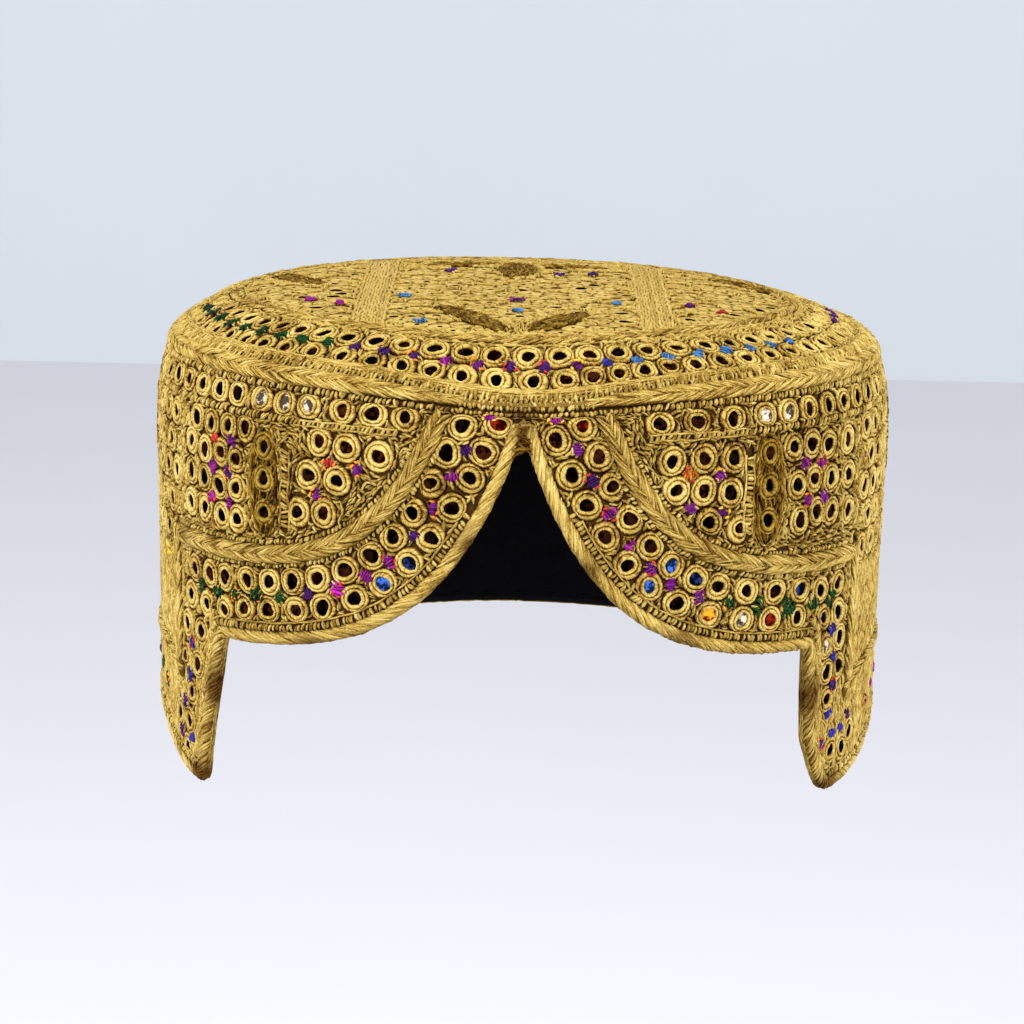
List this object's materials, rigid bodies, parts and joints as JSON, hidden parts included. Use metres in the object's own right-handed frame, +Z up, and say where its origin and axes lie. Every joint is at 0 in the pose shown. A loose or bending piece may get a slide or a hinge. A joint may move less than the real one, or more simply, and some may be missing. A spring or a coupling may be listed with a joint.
{
  "type": "sindhi cap",
  "caption": "Round embroidered cap with a domed crown, a deep wall cut away over the forehead in scallops and a notch, and a pointed flap by each temple.",
  "frame": {"origin": "middle of the crown lining's underside, where the wearer's head carries the cap", "axes": "+Z up, the front of the cap faces -Y, +X to the right in a view from the front"},
  "size_m": [0.1894, 0.1952, 0.1203],
  "materials": {
    "embroidered_cloth": "gold silk and cotton embroidery, dense and matt",
    "gold_braid": "herringbone braid in gold thread, soft sheen",
    "aged_thread": "brown thread darkened with age, matt",
    "black_lining": "plain black cotton, matt",
    "mirror": "small dark mirror discs sewn into thread rings",
    "silk_accent": "purple, orange, green and blue floss stitches, satin"
  },
  "bodies": {
    "root": {"crown_top": "embroidered_cloth", "side_wall": "embroidered_cloth", "crown_lining": "black_lining", "wall_lining": "black_lining", "edge_binding": "gold_braid", "wall_top_braid": "gold_braid", "crown_outer_braid": "gold_braid", "crown_inner_braid": "gold_braid", "panel_braid_left": "gold_braid", "panel_braid_right": "gold_braid", "side_braid_left": "gold_braid", "side_braid_right": "gold_braid", "back_braid": "gold_braid", "wall_leaf_1": "aged_thread", "wall_leaf_2": "aged_thread", "wall_leaf_3": "aged_thread", "wall_leaf_4": "aged_thread", "wall_leaf_5": "aged_thread", "wall_leaf_6": "aged_thread", "wall_leaf_7": "aged_thread", "crown_leaf_1": "aged_thread", "crown_leaf_2": "aged_thread", "crown_leaf_3": "aged_thread", "crown_leaf_4": "aged_thread", "crown_leaf_5": "aged_thread", "crown_leaf_6": "aged_thread", "crown_bud": "aged_thread"}
  },
  "joints": []
}
